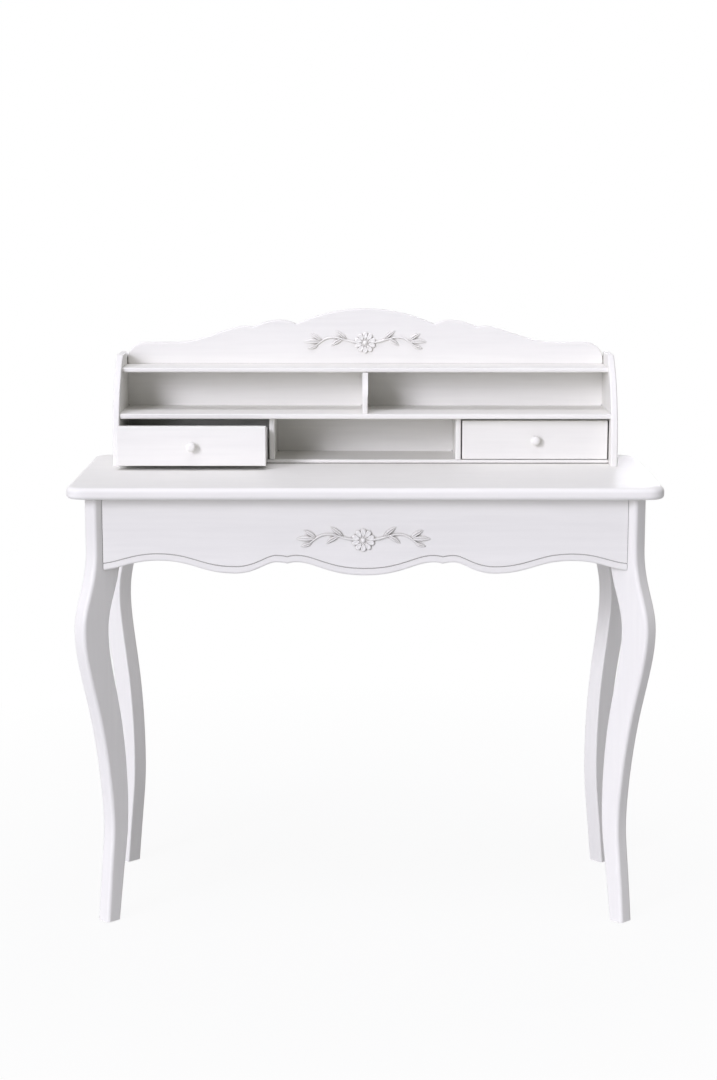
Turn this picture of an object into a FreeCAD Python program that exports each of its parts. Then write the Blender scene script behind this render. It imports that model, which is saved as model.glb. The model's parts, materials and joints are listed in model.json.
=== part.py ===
import FreeCAD, Part
import math
import os

import Sketcher

# White writing desk with a shelved hutch, in millimetres, +Z up.
# The origin lies on the floor under the middle of the desk; the front faces -Y.

# Driving dimensions: name, size, what it measures
SIZES = (
    ("top_width", 1000, "tabletop, side to side"),
    ("top_depth", 435, "tabletop, front to back"),
    ("top_thick", 20, "tabletop thickness"),
    ("top_corner_round", 30, "tabletop corners seen from above"),
    ("top_upper_round", 8, "upper edge of the tabletop"),
    ("top_lower_round", 6, "lower edge of the tabletop"),
    ("desk_height", 770, "floor to writing surface"),
    ("leg_thick", 29, "plank that the legs are cut from"),
    ("leg_inset", 36, "tabletop edge to the middle of a leg's outer edge"),
    ("leg_block_height", 88, "straight upper part of a leg"),
    ("leg_block_depth", 55.5, "upper part of a leg along its diagonal"),
    ("knee_drop", 205, "underside of the top down to the knee"),
    ("knee_reach", 25.5, "knee outwards from the upper part"),
    ("knee_depth", 54.5, "leg along its diagonal at the knee"),
    ("shin_drop", 380, "underside of the top down to the shin"),
    ("shin_tuck", 1.4, "shin inwards from the upper part"),
    ("shin_depth", 47.5, "leg along its diagonal at the shin"),
    ("ankle_drop", 566, "underside of the top down to the ankle"),
    ("ankle_tuck", 26, "ankle inwards from the upper part"),
    ("ankle_depth", 35, "leg along its diagonal at the ankle"),
    ("foot_tuck", 11.5, "foot inwards from the upper part"),
    ("foot_depth", 27, "leg along its diagonal at the floor"),
    ("leg_outer_round", 6, "edges of a leg's outer side"),
    ("leg_inner_round", 2.5, "edges of a leg's inner side"),
    ("glide_diameter", 14, "glide under a foot"),
    ("glide_height", 2, "glide under a foot"),
    ("apron_thick", 18, "all four aprons"),
    ("apron_setback", 36.2, "tabletop edge to the face of an apron"),
    ("apron_end_gap", 1.2, "end of an apron to the leg's flat side"),
    ("apron_deepest", 134, "front apron at its middle"),
    ("apron_low", 131, "front apron at its outer low point"),
    ("apron_crest", 109, "aprons at the top of a wide scallop"),
    ("apron_small_crest", 111.5, "front apron at the top of a narrow scallop"),
    ("apron_cusp", 114, "front apron at the cusp between two narrow scallops"),
    ("apron_end", 127, "aprons at the legs"),
    ("apron_back_height", 100, "straight back apron"),
    ("apron_edge_round", 3, "lower front edge of a scalloped apron"),
    ("line_rise", 11.5, "lower edge of an apron up to its incised line"),
    ("line_width", 1.6, "incised line"),
    ("line_depth", 1.2, "incised line"),
    ("brace_thick", 22, "corner brace"),
    ("brace_height", 50, "corner brace"),
    ("bolt_diameter", 8, "hanger bolt of a leg"),
    ("bolt_in_leg", 30, "hanger bolt inside the leg"),
    ("bolt_tail", 14, "hanger bolt past the brace"),
    ("nut_across", 13, "hexagon nut across flats"),
    ("nut_height", 6.5, "hexagon nut"),
    ("washer_diameter", 20, "washer under the nut"),
    ("washer_thick", 1.6, "washer under the nut"),
    ("screw_diameter", 4, "wood screw shank"),
    ("screw_head_diameter", 8, "wood screw head"),
    ("screw_head_height", 3, "wood screw head"),
    ("screw_bite", 12, "wood screw inside the tabletop"),
    ("brace_screw_grip", 16, "brace wood above a screw head"),
    ("brace_screw_spread", 24, "bolt axis to a brace screw"),
    ("fastener_gap", 0.15, "play round every shank, pin and head"),
    ("hutch_side_inset", 50, "tabletop end to the outside of a hutch side panel"),
    ("hutch_depth", 162, "hutch side panel at the tabletop"),
    ("hutch_back_inset", 4, "tabletop back edge to the back of the hutch"),
    ("side_thick", 12, "hutch side panel"),
    ("side_height", 192, "hutch side panel"),
    ("side_top_depth", 74, "hutch side panel at its top"),
    ("side_straight", 30, "straight foot of the side panel's front edge"),
    ("side_top_round", 8, "upper front corner of the side panel"),
    ("board_round", 2.5, "eased edges of the hutch boards"),
    ("base_thick", 7, "hutch base board"),
    ("base_depth", 124, "hutch base board"),
    ("drawer_opening", 76, "base board to middle shelf"),
    ("shelf_thick", 9, "middle shelf"),
    ("shelf_depth", 149, "middle shelf to the back of the hutch"),
    ("upper_opening", 69.5, "middle shelf to top shelf"),
    ("top_shelf_thick", 8, "top shelf"),
    ("top_shelf_depth", 95, "top shelf"),
    ("divider_thick", 10, "upright dividers"),
    ("divider_setback", 8, "front of the upper divider behind the shelf"),
    ("cubby_width", 325, "open middle compartment"),
    ("back_thick", 5, "hutch back panel"),
    ("crest_thick", 12, "crest board"),
    ("crest_peak", 101.5, "crest board at its middle, above the top shelf"),
    ("crest_notch", 73.5, "inner notch of the crest board"),
    ("crest_bump", 80.5, "bump between the notches"),
    ("crest_outer_notch", 68, "outer notch of the crest board"),
    ("crest_swell", 10, "swell of the crest board beside its outer notch"),
    ("crest_shoulder", 40, "crest board beside its scallops"),
    ("crest_end_round", 36, "ends of the crest board"),
    ("pin_diameter", 4, "pins in the hutch boards"),
    ("pin_length", 18, "pins in the hutch boards"),
    ("pin_in_board", 6, "pin inside the board that it is knocked into first"),
    ("back_screw_diameter", 3, "back panel screw"),
    ("back_screw_head_diameter", 6, "back panel screw"),
    ("back_screw_head_height", 1.8, "back panel screw"),
    ("back_screw_length", 20, "back panel screw shank"),
    ("drawer_side_gap", 2, "drawer front to the opening, each side"),
    ("drawer_top_gap", 5.3, "drawer front to the shelf"),
    ("drawer_slide_gap", 0.3, "drawer sides above the base board"),
    ("drawer_front_lift", 0.8, "drawer front above the base board"),
    ("drawer_back_gap", 1, "closed drawer to the back panel"),
    ("drawer_front_thick", 12, "drawer front"),
    ("drawer_front_round", 1.5, "edges of a drawer front's face"),
    ("drawer_wall", 8, "drawer sides and back"),
    ("drawer_wall_height", 56, "drawer sides"),
    ("drawer_wall_inset", 1.5, "end of the front to the outside of a side"),
    ("drawer_bottom_thick", 4, "drawer bottom"),
    ("drawer_bottom_lift", 5, "lower edge of the sides to the bottom"),
    ("drawer_groove_depth", 4, "groove that holds the bottom"),
    ("groove_play", 0.2, "bottom inside its groove, all round"),
    ("left_drawer_pull", 92, "left drawer shown pulled out"),
    ("knob_diameter", 17, "drawer knob"),
    ("knob_neck_diameter", 9, "drawer knob at the front"),
    ("knob_reach", 16, "drawer knob out from the front"),
    ("knob_neck_length", 5, "drawer knob neck"),
    ("knob_screw_bite", 10, "knob screw inside the knob"),
    ("flower_radius", 20, "flower in the middle of a spray"),
    ("spray_half_width", 114, "spray from its middle to its end"),
    ("spray_relief", 3.2, "leaves and stems of a spray"),
    ("petal_relief", 4, "petals of a spray"),
    ("boss_relief", 5, "boss in the middle of a flower"),
    ("stem_width", 4, "stems of a spray"),
    ("apron_spray_drop", 73, "underside of the top down to the apron's flower"),
    ("apron_spray_shift", 2.7, "middle of the apron to its flower, which sits a little to the left"),
    ("crest_spray_rise", 39, "top shelf up to the crest's flower"),
)

# Scallops along the half length of the front apron, as shares of that length
APRON_INNER_CREST = 0.262
APRON_CUSP = 0.297
APRON_OUTER_CREST = 0.338
APRON_LOW = 0.495
APRON_LAST_CREST = 0.79
APRON_RUN_OUT = 1.055

# Scallops along the half length of a side apron
SIDE_CREST = 0.58
SIDE_RUN_OUT = 1.1

# Scallops along the half length of the crest board
CREST_NOTCH = 0.289
CREST_BUMP = 0.362
CREST_OUTER_NOTCH = 0.471
CREST_SHOULDER = 0.788

PETALS = 10
ROOT2 = math.sqrt(2)

# Corners of the desk: name, side along X, side along Y, turn of the leg's outward diagonal
CORNERS = (
    ("front_left", -1, -1, -135),
    ("front_right", 1, -1, -45),
    ("back_left", -1, 1, 135),
    ("back_right", 1, 1, 45),
)
SIDES = (("left", -1), ("right", 1))

doc = FreeCAD.newDocument("writing_desk")
sheet = doc.addObject("Spreadsheet::Sheet", "Sizes")
for row, (alias, size, note) in enumerate(SIZES, start=1):
    sheet.set(f"A{row}", note)
    sheet.set(f"B{row}", str(size))
    sheet.setAlias(f"B{row}", alias)
doc.recompute()

nodes = []


def vector(x, y, z=0.0):
    return FreeCAD.Vector(x, y, z)


def new_body(label, keep=True):
    """A body whose label names its file; a body that is only copied from isn't kept."""
    body = doc.addObject("PartDesign::Body", label)
    body.Label = label
    if keep:
        nodes.append(body)
    return body


def new_sketch(body, role, name, offset=None):
    """A sketch on one of the body's origin planes, moved along its normal by an expression."""
    sketch = body.newObject("Sketcher::SketchObject", name)
    support = next(item for item in body.Origin.OriginFeatures if item.Role == role)
    sketch.AttachmentSupport = [(support, "")]
    sketch.MapMode = "FlatFace"
    if offset:
        sketch.setExpression(".AttachmentOffset.Base.z", offset)
    return sketch


def rectangle(sketch, width, depth):
    """A rectangle round the sketch's origin, sized by two expressions."""
    corners = [vector(-1, -1), vector(1, -1), vector(1, 1), vector(-1, 1)]
    for index in range(4):
        sketch.addGeometry(Part.LineSegment(corners[index], corners[(index + 1) % 4]), False)
    for index in range(4):
        sketch.addConstraint(Sketcher.Constraint("Coincident", index, 2, (index + 1) % 4, 1))
    sketch.addConstraint(Sketcher.Constraint("Horizontal", 0))
    sketch.addConstraint(Sketcher.Constraint("Horizontal", 2))
    sketch.addConstraint(Sketcher.Constraint("Vertical", 1))
    sketch.addConstraint(Sketcher.Constraint("Vertical", 3))
    sketch.addConstraint(Sketcher.Constraint("Symmetric", 0, 1, 2, 1, -1, 1))
    for name, line, size in (("width", 0, width), ("depth", 1, depth)):
        kind = "DistanceX" if name == "width" else "DistanceY"
        index = sketch.addConstraint(Sketcher.Constraint(kind, line, 1, line, 2, 2.0))
        sketch.renameConstraint(index, name)
        sketch.setExpression("Constraints." + name, size)


def circle(sketch, x, y, diameter):
    """A circle at a worked-out place, with its diameter bound to an expression."""
    geometry = sketch.addGeometry(Part.Circle(vector(x, y), vector(0, 0, 1), 1.0), False)
    index = sketch.addConstraint(Sketcher.Constraint("Diameter", geometry, 2.0))
    sketch.setExpression(f"Constraints[{index}]", diameter)


def outline(sketch, start, steps):
    """A closed outline: a step with one point is a line, with more it holds a curve's poles."""
    first = sketch.GeometryCount
    at = start
    for step in steps:
        points = [vector(*point) for point in (at, *step)]
        if len(points) == 2:
            sketch.addGeometry(Part.LineSegment(*points), False)
        else:
            curve = Part.BezierCurve()
            curve.setPoles(points)
            sketch.addGeometry(curve.toBSpline(), False)
        at = step[-1]
    last = sketch.GeometryCount - 1
    for index in range(first, last):
        sketch.addConstraint(Sketcher.Constraint("Coincident", index, 2, index + 1, 1))
    sketch.addConstraint(Sketcher.Constraint("Coincident", last, 2, first, 1))


def pad(body, sketch, length, symmetric=False, reverse=False):
    feature = body.newObject("PartDesign::Pad", sketch.Name + "_pad")
    feature.Profile = sketch
    feature.setExpression("Length", length)
    feature.Reversed = reverse
    if symmetric:
        feature.SideType = "Symmetric"
    doc.recompute()
    return feature


def pocket(body, sketch, length, reverse=False, symmetric=False):
    """A cut that has to take material away."""
    before = body.Shape.Volume
    feature = body.newObject("PartDesign::Pocket", sketch.Name + "_pocket")
    feature.Profile = sketch
    feature.setExpression("Length", length)
    feature.Reversed = reverse
    if symmetric:
        feature.SideType = "Symmetric"
    doc.recompute()
    if body.Shape.Volume >= before:
        raise ValueError(f"{body.Label}: {sketch.Name} cuts nothing")
    return feature


def round_edges(body, name, radius, chosen):
    """Round the edges of the body's last feature that a test picks by their middle point."""
    base = body.Tip
    names = []
    for index, edge in enumerate(base.Shape.Edges, start=1):
        middle = edge.valueAt((edge.FirstParameter + edge.LastParameter) / 2)
        if chosen(edge, middle):
            names.append(f"Edge{index}")
    feature = body.newObject("PartDesign::Fillet", name)
    feature.Base = (base, names)
    feature.setExpression("Radius", radius)
    doc.recompute()
    return feature


def place(body, x="0", y="0", z="0", turn=0.0):
    """Turn a body about +Z and set its place by expressions."""
    body.Placement = FreeCAD.Placement(vector(0, 0), FreeCAD.Rotation(vector(0, 0, 1), turn))
    for axis, expression in zip("xyz", (x, y, z)):
        body.setExpression(f".Placement.Base.{axis}", expression)


def board(label, width, depth, height):
    """A plain board round its own Z axis, standing on its own XY plane."""
    body = new_body(label)
    sketch = new_sketch(body, "XY_Plane", label + "_outline")
    rectangle(sketch, width, depth)
    pad(body, sketch, height)
    return body


def holes(body, role, name, places, diameter, depth, offset=None, reverse=False):
    sketch = new_sketch(body, role, name, offset)
    for x, y in places:
        circle(sketch, x, y, diameter)
    pocket(body, sketch, depth, reverse)


def turned(label, start, steps, role="XZ_Plane", keep=False):
    """A piece turned about the upright axis of a half section on one of its planes."""
    body = new_body(label, keep)
    section = new_sketch(body, role, "section")
    outline(section, start, steps)
    feature = body.newObject("PartDesign::Revolution", "turned")
    feature.Profile = section
    feature.ReferenceAxis = (section, ["V_Axis"])
    feature.Angle = 360
    doc.recompute()
    return body


def turned_straight(label, corners):
    """A turned piece whose half section has straight sides only."""
    return turned(label, corners[0], [[corner] for corner in corners[1:]] + [[corners[0]]])


def group(label, body, placements):
    """Identical pieces in one node, each a solid of its own."""
    node = doc.addObject("Part::Feature", label)
    node.Label = label
    copies = []
    for placement in placements:
        solid = body.Shape.copy()
        solid.Placement = placement.multiply(solid.Placement)
        copies.append(solid)
    node.Shape = Part.makeCompound(copies)
    nodes.append(node)
    return node


def along(place_at, direction):
    """A placement that lays a piece's own Z axis along a direction."""
    return FreeCAD.Placement(place_at, FreeCAD.Rotation(vector(0, 0, 1), direction))


# Heights that the pieces share
underside = sheet.desk_height - sheet.top_thick
base_top = sheet.desk_height + sheet.base_thick
shelf_bottom = base_top + sheet.drawer_opening
shelf_top = shelf_bottom + sheet.shelf_thick
top_shelf_bottom = shelf_top + sheet.upper_opening
top_shelf_top = top_shelf_bottom + sheet.top_shelf_thick
UNDERSIDE = "Sizes.desk_height - Sizes.top_thick"
BASE_TOP = "Sizes.desk_height + Sizes.base_thick"
SHELF_TOP = BASE_TOP + " + Sizes.drawer_opening + Sizes.shelf_thick"
TOP_SHELF_BOTTOM = SHELF_TOP + " + Sizes.upper_opening"
TOP_SHELF_TOP = TOP_SHELF_BOTTOM + " + Sizes.top_shelf_thick"

# Planes that the pieces share
hutch_back = sheet.top_depth / 2 - sheet.hutch_back_inset
hutch_inside = sheet.top_width / 2 - sheet.hutch_side_inset - sheet.side_thick
HUTCH_BACK = "Sizes.top_depth / 2 - Sizes.hutch_back_inset"
HUTCH_HALF = "(Sizes.top_width / 2 - Sizes.hutch_side_inset)"
INSIDE_WIDTH = f"2 * ({HUTCH_HALF} - Sizes.side_thick)"
BACK_FACE = HUTCH_BACK + " - Sizes.back_thick"
leg_x = sheet.top_width / 2 - sheet.leg_inset
leg_y = sheet.top_depth / 2 - sheet.leg_inset
PIN_HOLE = "Sizes.pin_diameter + 2 * Sizes.fastener_gap"
SCREW_HOLE = "Sizes.screw_diameter + 2 * Sizes.fastener_gap"
HEAD_HOLE = "Sizes.screw_head_diameter + 2 * Sizes.fastener_gap"

# Places of the fasteners
brace_middle = -(sheet.leg_block_depth + sheet.brace_thick / 2)
bolt_height = underside - sheet.brace_height / 2
bay_middle = (sheet.cubby_width / 2 + sheet.divider_thick + hutch_inside) / 2
base_screw_spread = sheet.base_depth / 4
base_middle = hutch_back - sheet.base_depth / 2
base_screws = []
for _, side in SIDES:
    for end in (-1, 1):
        base_screws.append((side * bay_middle, base_middle + end * base_screw_spread))


def corner_point(side_x, side_y, turn, along_diagonal, across, height):
    """A point given along a leg's diagonal, across it and above the floor."""
    angle = math.radians(turn)
    x = side_x * leg_x + along_diagonal * math.cos(angle) - across * math.sin(angle)
    y = side_y * leg_y + along_diagonal * math.sin(angle) + across * math.cos(angle)
    return vector(x, y, height)


brace_screws = []
for _, side_x, side_y, turn in CORNERS:
    for end in (-1, 1):
        spread = end * sheet.brace_screw_spread
        brace_screws.append(corner_point(side_x, side_y, turn, brace_middle, spread, 0))


def make_tabletop():
    body = board("tabletop", "Sizes.top_width", "Sizes.top_depth", "Sizes.top_thick")
    round_edges(body, "corners", "Sizes.top_corner_round",
                lambda edge, middle: abs(edge.tangentAt(edge.FirstParameter).z) > 0.9)
    thick = sheet.top_thick
    round_edges(body, "upper_edge", "Sizes.top_upper_round",
                lambda edge, middle: middle.z > thick - 0.01)
    round_edges(body, "lower_edge", "Sizes.top_lower_round",
                lambda edge, middle: middle.z < 0.01)
    bite = "Sizes.screw_bite + Sizes.fastener_gap"
    holes(body, "XY_Plane", "brace_screw_holes", [(at.x, at.y) for at in brace_screws],
          SCREW_HOLE, bite, reverse=True)
    holes(body, "XY_Plane", "base_screw_holes", base_screws, SCREW_HOLE, bite, "Sizes.top_thick")
    place(body, z=UNDERSIDE)


def leg_edge(reaches):
    """A smooth edge of a leg through its stations, upright where it leaves the upper part."""
    drops = (sheet.leg_block_height, sheet.knee_drop, sheet.shin_drop, sheet.ankle_drop,
             underside - sheet.glide_height)
    points = [vector(reach, underside - drop) for reach, drop in zip(reaches, drops)]
    curve = Part.BSplineCurve()
    foot_turn = vector((reaches[-1] - reaches[-2]) / 2, points[-1].y - points[-2].y)
    curve.interpolate(Points=points, InitialTangent=vector(0, -1) * (points[0].y - points[1].y),
                      FinalTangent=foot_turn + vector((reaches[-1] - reaches[-2]) / 2, 0))
    return curve


def make_leg(name, side_x, side_y, turn):
    """A leg cut from a plank as an S, with its edges eased."""
    body = new_body("leg_" + name)
    reaches = (0, sheet.knee_reach, -sheet.shin_tuck, -sheet.ankle_tuck, -sheet.foot_tuck)
    depths = (sheet.leg_block_depth, sheet.knee_depth, sheet.shin_depth, sheet.ankle_depth,
              sheet.foot_depth)
    outer = leg_edge(reaches)
    inner = leg_edge([reach - depth for reach, depth in zip(reaches, depths)])
    top_outer = vector(0, underside)
    top_inner = vector(-sheet.leg_block_depth, underside)
    sketch = new_sketch(body, "XZ_Plane", "profile")
    sketch.addGeometry(Part.LineSegment(top_inner, top_outer), False)
    sketch.addGeometry(Part.LineSegment(top_outer, outer.StartPoint), False)
    sketch.addGeometry(outer, False)
    sketch.addGeometry(Part.LineSegment(outer.EndPoint, inner.EndPoint), False)
    sketch.addGeometry(inner, False)
    sketch.addGeometry(Part.LineSegment(inner.StartPoint, top_inner), False)
    pad(body, sketch, "Sizes.leg_thick", symmetric=True)

    def on_edge(curve, block_reach):
        def chosen(edge, middle):
            if abs(abs(middle.y) - sheet.leg_thick / 2) > 0.01:
                return False
            flat = vector(middle.x, middle.z)
            on_block = abs(middle.x - block_reach) < 0.01 and middle.z < underside - 1
            on_curve = curve.toShape().distToShape(Part.Vertex(flat))[0] < 0.01
            at_foot = middle.z < sheet.glide_height + 0.01
            return (on_block or on_curve) and not at_foot
        return chosen

    round_edges(body, "outer_edges", "Sizes.leg_outer_round", on_edge(outer, 0))
    round_edges(body, "inner_edges", "Sizes.leg_inner_round", on_edge(inner, -sheet.leg_block_depth))
    holes(body, "YZ_Plane", "bolt_hole", [(0, bolt_height)],
          "Sizes.bolt_diameter + 2 * Sizes.fastener_gap", "Sizes.bolt_in_leg + Sizes.fastener_gap",
          "-Sizes.leg_block_depth", reverse=True)
    place(body, f"{side_x} * (Sizes.top_width / 2 - Sizes.leg_inset)",
          f"{side_y} * (Sizes.top_depth / 2 - Sizes.leg_inset)", turn=turn)


def wave(x_from, z_from, x_to, z_to, ease_from=0.45, ease_to=0.45):
    """Poles of a curve that is level at both ends."""
    run = x_to - x_from
    return [(x_from + ease_from * run, z_from), (x_to - ease_to * run, z_to), (x_to, z_to)]


def front_scallops(half):
    """Right half of the front apron's lower edge, from its middle out past the leg."""
    low = -sheet.apron_deepest
    crest = -sheet.apron_crest
    inner = APRON_INNER_CREST * half
    cusp = APRON_CUSP * half
    outer = APRON_OUTER_CREST * half
    narrow = -sheet.apron_small_crest
    return (0, low), [
        wave(0, low, inner, narrow, 0.55, 0.28),
        [((inner + cusp) / 2, narrow), (cusp, -sheet.apron_cusp)],
        [((outer + cusp) / 2, narrow), (outer, narrow)],
        wave(outer, narrow, APRON_LOW * half, -sheet.apron_low, 0.25, 0.5),
        wave(APRON_LOW * half, -sheet.apron_low, APRON_LAST_CREST * half, crest),
        wave(APRON_LAST_CREST * half, crest, APRON_RUN_OUT * half, -sheet.apron_end),
    ]


def side_scallops(half):
    """Right half of a side apron's lower edge."""
    low = -sheet.apron_end
    crest = -sheet.apron_crest
    return (0, low), [
        wave(0, low, SIDE_CREST * half, crest),
        wave(SIDE_CREST * half, crest, SIDE_RUN_OUT * half, -sheet.apron_end),
    ]


def both_halves(start, steps, rise=0.0):
    """An edge from its left end to its right end, given its right half, and raised."""
    chain = [start]
    lengths = []
    for step in steps:
        lengths.append(len(step))
        chain.extend(step)
    mirrored = []
    at = len(chain) - 1
    for length in reversed(lengths):
        mirrored.append([(-chain[at - count][0], chain[at - count][1] + rise)
                         for count in range(1, length + 1)])
        at -= length
    first = (-chain[-1][0], chain[-1][1] + rise)
    right = [[(x, z + rise) for x, z in step] for step in steps]
    return first, mirrored + right


def reversed_edge(first, steps):
    """The same edge, drawn from its right end to its left end."""
    chain = [first]
    for step in steps:
        chain.extend(step)
    back = []
    at = len(chain) - 1
    for step in reversed(steps):
        back.append([chain[at - count] for count in range(1, len(step) + 1)])
        at -= len(step)
    return back


def make_apron(name, span, turn, height, scallops=None, x="0", y="0"):
    """An apron whose ends are cut at 45 degrees along the flat sides of two legs."""
    body = new_body("apron_" + name)
    half = getattr(sheet, span) / 2 - sheet.apron_setback - sheet.leg_thick / ROOT2
    half -= ROOT2 * sheet.apron_end_gap
    back_half = half - sheet.apron_thick
    plan = new_sketch(body, "XY_Plane", "plan")
    outline(plan, (-half, 0), [[(half, 0)], [(back_half, sheet.apron_thick)],
                               [(-back_half, sheet.apron_thick)], [(-half, 0)]])
    pad(body, plan, height, reverse=True)
    if scallops:
        below = -2 * getattr(sheet, height.split(".")[1])
        first, steps = both_halves(*scallops(half))
        shape = new_sketch(body, "XZ_Plane", "scallops")
        outline(shape, first, steps + [[(-first[0], below)], [(first[0], below)], [first]])
        pocket(body, shape, "4 * Sizes.apron_thick", symmetric=True)
        scalloped = [edge.CenterOfMass for edge in body.Shape.Edges
                     if abs(edge.CenterOfMass.y) < 0.01 and edge.CenterOfMass.z < below / 3
                     and abs(edge.tangentAt(edge.FirstParameter).x) > 0.1]
        lower_first, lower = both_halves(*scallops(half), rise=sheet.line_rise)
        upper_first, upper = both_halves(*scallops(half), rise=sheet.line_rise + sheet.line_width)
        line = new_sketch(body, "XZ_Plane", "incised_line")
        outline(line, lower_first, lower + [[(-upper_first[0], upper_first[1])]]
                + reversed_edge(upper_first, upper) + [[lower_first]])
        pocket(body, line, "Sizes.line_depth")
        round_edges(body, "lower_edge", "Sizes.apron_edge_round",
                    lambda edge, middle: any(at.isEqual(edge.CenterOfMass, 0.01) for at in scalloped))
    place(body, x, y, UNDERSIDE, turn)


def make_aprons():
    face_x = "(Sizes.top_width / 2 - Sizes.apron_setback)"
    face_y = "(Sizes.top_depth / 2 - Sizes.apron_setback)"
    make_apron("front", "top_width", 0, "Sizes.apron_deepest", front_scallops, y="-" + face_y)
    make_apron("back", "top_width", 180, "Sizes.apron_back_height", y=face_y)
    make_apron("left", "top_depth", -90, "Sizes.apron_end", side_scallops, x="-" + face_x)
    make_apron("right", "top_depth", 90, "Sizes.apron_end", side_scallops, x=face_x)


def make_brace(name, side_x, side_y, turn):
    """A block across the corner, between two aprons and behind the leg."""
    body = new_body("corner_brace_" + name)
    cut_in = ROOT2 * (sheet.apron_setback + sheet.apron_thick - sheet.leg_inset)
    outer = sheet.leg_block_depth
    inner = outer + sheet.brace_thick
    plan = new_sketch(body, "XY_Plane", "plan")
    outline(plan, (-outer, cut_in - outer), [[(-outer, outer - cut_in)], [(-inner, inner - cut_in)],
                                             [(-inner, cut_in - inner)], [(-outer, cut_in - outer)]])
    pad(body, plan, "Sizes.brace_height")
    middle = sheet.brace_height / 2
    holes(body, "YZ_Plane", "bolt_hole", [(0, middle)], "Sizes.bolt_diameter + 2 * Sizes.fastener_gap",
          "2 * Sizes.brace_thick", "-Sizes.leg_block_depth")
    spread = sheet.brace_screw_spread
    screws = [(brace_middle, -spread), (brace_middle, spread)]
    holes(body, "XY_Plane", "screw_holes", screws, SCREW_HOLE, "Sizes.brace_height", reverse=True)
    holes(body, "XY_Plane", "head_holes", screws, HEAD_HOLE, "Sizes.brace_height - Sizes.brace_screw_grip",
          reverse=True)
    place(body, f"{side_x} * (Sizes.top_width / 2 - Sizes.leg_inset)",
          f"{side_y} * (Sizes.top_depth / 2 - Sizes.leg_inset)", UNDERSIDE + " - Sizes.brace_height", turn)


def make_leg_fasteners():
    """Hanger bolts with washers and nuts, glides, and the screws of the tabletop."""
    radius = sheet.bolt_diameter / 2
    bolt_length = sheet.bolt_in_leg + sheet.brace_thick + sheet.bolt_tail
    taper = radius / 2
    bolt = turned_straight("one_leg_bolt", [(0, 0), (radius - taper, 0), (radius, taper),
                                            (radius, bolt_length - taper),
                                            (radius - taper, bolt_length), (0, bolt_length)])
    hole = radius + sheet.fastener_gap
    rim = sheet.washer_diameter / 2
    washer = turned_straight("one_washer", [(hole, 0), (rim, 0), (rim, sheet.washer_thick),
                                            (hole, sheet.washer_thick)])
    nut = new_body("one_nut", keep=False)
    sketch = new_sketch(nut, "XY_Plane", "hexagon")
    reach = sheet.nut_across / math.sqrt(3)
    corners = []
    for index in range(6):
        angle = math.radians(60 * index)
        corners.append((reach * math.cos(angle), reach * math.sin(angle)))
    outline(sketch, corners[0], [[corner] for corner in corners[1:]] + [[corners[0]]])
    circle(sketch, 0, 0, "Sizes.bolt_diameter + 2 * Sizes.fastener_gap")
    pad(nut, sketch, "Sizes.nut_height")
    rim = sheet.glide_diameter / 2
    ease = sheet.glide_height / 2
    glide = turned_straight("one_glide", [(0, 0), (rim - ease, 0), (rim, ease),
                                          (rim, sheet.glide_height), (0, sheet.glide_height)])
    brace_face = -(sheet.leg_block_depth + sheet.brace_thick)
    bolts, washers, nuts, glides = [], [], [], []
    for _, side_x, side_y, turn in CORNERS:
        angle = math.radians(turn)
        outward = vector(math.cos(angle), math.sin(angle))

        def at(reach, height):
            return corner_point(side_x, side_y, turn, reach, 0, height)

        bolts.append(along(at(brace_face - sheet.bolt_tail, bolt_height), outward))
        washers.append(along(at(brace_face - sheet.washer_thick, bolt_height), outward))
        nuts.append(along(at(brace_face - sheet.washer_thick - sheet.nut_height, bolt_height), outward))
        glides.append(along(at(-sheet.foot_tuck - sheet.foot_depth / 2, 0), vector(0, 0, 1)))
    group("leg_bolts", bolt, bolts)
    group("leg_bolt_washers", washer, washers)
    group("leg_bolt_nuts", nut, nuts)
    group("foot_glides", glide, glides)


def one_screw(label, shank_length, diameter, head_diameter, head_height):
    """A screw with its head below its own XY plane and a pointed shank above it."""
    radius = diameter / 2
    rim = head_diameter / 2
    ease = head_height / 3
    return turned_straight(label, [(0, -head_height), (rim - ease, -head_height), (rim, ease - head_height),
                                   (rim, 0), (radius, 0), (radius, shank_length - diameter),
                                   (0, shank_length)])


def make_wood_screws():
    head = (sheet.screw_diameter, sheet.screw_head_diameter, sheet.screw_head_height)
    long_screw = one_screw("one_brace_screw", sheet.brace_screw_grip + sheet.screw_bite, *head)
    seat = underside - sheet.brace_screw_grip
    group("tabletop_screws", long_screw,
          [along(vector(point.x, point.y, seat), vector(0, 0, 1)) for point in brace_screws])
    grip = sheet.base_thick - sheet.screw_head_height
    short_screw = one_screw("one_base_screw", grip + sheet.screw_bite, *head)
    seat = sheet.desk_height + grip
    group("hutch_screws", short_screw,
          [along(vector(x, y, seat), vector(0, 0, -1)) for x, y in base_screws])


def shelf_pin_spread(depth):
    return depth / 4


def end_holes(body, half, depth, middle_height):
    """Pin holes in both ends of a shelf."""
    spread = shelf_pin_spread(depth)
    places = [(-spread, middle_height), (spread, middle_height)]
    bore = "Sizes.pin_length - Sizes.pin_in_board + Sizes.fastener_gap"
    holes(body, "YZ_Plane", "right_pins", places, PIN_HOLE, bore, half)
    holes(body, "YZ_Plane", "left_pins", places, PIN_HOLE, bore, "-(" + half + ")", reverse=True)


def front_edges(depth, height):
    """A test for the long front edges of a shelf."""
    def chosen(edge, middle):
        long_way = abs(edge.tangentAt(edge.FirstParameter).x) > 0.9
        return long_way and middle.y < 0.01 - depth / 2 and (middle.z < 0.01 or middle.z > height - 0.01)
    return chosen


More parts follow.
